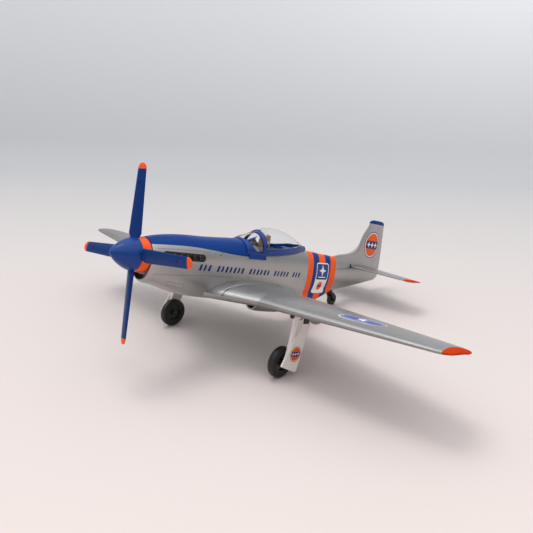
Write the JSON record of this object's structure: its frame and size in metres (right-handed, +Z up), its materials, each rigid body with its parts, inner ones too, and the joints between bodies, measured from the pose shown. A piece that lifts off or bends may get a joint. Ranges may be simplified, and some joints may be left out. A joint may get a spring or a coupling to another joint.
{
  "type": "propeller plane model",
  "caption": "Die-cast display model of a low-wing propeller fighter with turning propeller, sliding canopy, folding main undercarriage and rolling wheels.",
  "frame": {"origin": "on the ground plane under the middle of the outline, with the tyres at Z = 0", "axes": "+Z up, nose towards -Y, port wing towards +X; the model stands nose-up on its three wheels"},
  "size_m": [0.282, 0.2376, 0.1132],
  "materials": {
    "fuselage_livery": "gloss enamel: silver with blue anti-glare top, blue fin cap and orange and blue bands",
    "wing_livery": "gloss silver enamel with orange tips and a blue flash",
    "blue_paint": "gloss enamel",
    "orange_paint": "gloss enamel",
    "door_white": "satin enamel",
    "leg_white": "satin enamel",
    "black_paint": "semi-gloss",
    "black_rubber": "matt with fine mould lines",
    "hub_black": "moulded",
    "steel": "turned and zinc plated",
    "bearing_plastic": "moulded nylon",
    "clear_plastic": "clear injection moulding",
    "interior_grey": "moulded",
    "seat_tan": "moulded",
    "dark_grille": "moulded"
  },
  "bodies": {
    "airframe": {"fuselage_left_half": "fuselage_livery", "fuselage_right_half": "fuselage_livery", "wing": "wing_livery", "tailplane": "wing_livery", "radiator_scoop": "fuselage_livery", "radiator_grille": "dark_grille", "chin_intake_grille": "dark_grille", "nose_bearing": "bearing_plastic", "left_exhaust": "black_paint", "right_exhaust": "black_paint", "cockpit_tub": "interior_grey", "pilot_seat": "seat_tan", "instrument_panel": "interior_grey", "control_stick": "black_paint", "windscreen_frame": "blue_paint", "windscreen_glass": "clear_plastic", "tail_wheel_strut": "black_paint", "tail_wheel_axle": "steel", "wing_screws": "steel", "left_gear_fold_pin": "black_paint", "right_gear_fold_pin": "black_paint"},
    "propeller_set": {"propeller_shaft": "steel", "shaft_collar": "steel", "propeller": "blue_paint", "spinner": "blue_paint", "spinner_ring": "orange_paint"},
    "canopy": {"canopy_frame": "blue_paint", "canopy_glass": "clear_plastic"},
    "left_leg": {"left_gear_leg": "leg_white", "left_gear_door": "door_white", "left_gear_door_insert": "dark_grille", "left_wheel_axle": "steel"},
    "right_leg": {"right_gear_leg": "leg_white", "right_gear_door": "door_white", "right_gear_door_insert": "dark_grille", "right_wheel_axle": "steel"},
    "left_wheel": {"left_wheel_hub": "hub_black", "left_tyre": "black_rubber"},
    "right_wheel": {"right_wheel_hub": "hub_black", "right_tyre": "black_rubber"},
    "tail_wheel": {"tail_wheel_hub": "hub_black", "tail_tyre": "black_rubber"}
  },
  "joints": [
    {"name": "propeller_spin", "type": "hinge", "parent": "airframe", "child": "propeller_set", "pos_m": [0, -0.10599, 0.06994], "axis": [0, 0.9659, -0.2588], "continuous": true},
    {"name": "canopy_slide", "type": "slide", "parent": "airframe", "child": "canopy", "axis": [0, 0.9659, -0.2588], "range_m": [0, 0.022]},
    {"name": "left_gear_fold", "type": "hinge", "parent": "airframe", "child": "left_leg", "pos_m": [0.0515, -0.0414, 0.03472], "axis": [0, 0.9659, -0.2588], "range_deg": [0, 88]},
    {"name": "right_gear_fold", "type": "hinge", "parent": "airframe", "child": "right_leg", "pos_m": [-0.0515, -0.0414, 0.03472], "axis": [0, -0.9659, 0.2588], "range_deg": [0, 88]},
    {"name": "left_wheel_spin", "type": "hinge", "parent": "left_leg", "child": "left_wheel", "pos_m": [0.0476, -0.04783, 0.0088], "axis": [1, 0, 0], "continuous": true},
    {"name": "right_wheel_spin", "type": "hinge", "parent": "right_leg", "child": "right_wheel", "pos_m": [-0.0476, -0.04783, 0.0088], "axis": [1, 0, 0], "continuous": true},
    {"name": "tail_wheel_spin", "type": "hinge", "parent": "airframe", "child": "tail_wheel", "pos_m": [0, 0.05793, 0.0044], "axis": [1, 0, 0], "continuous": true}
  ]
}
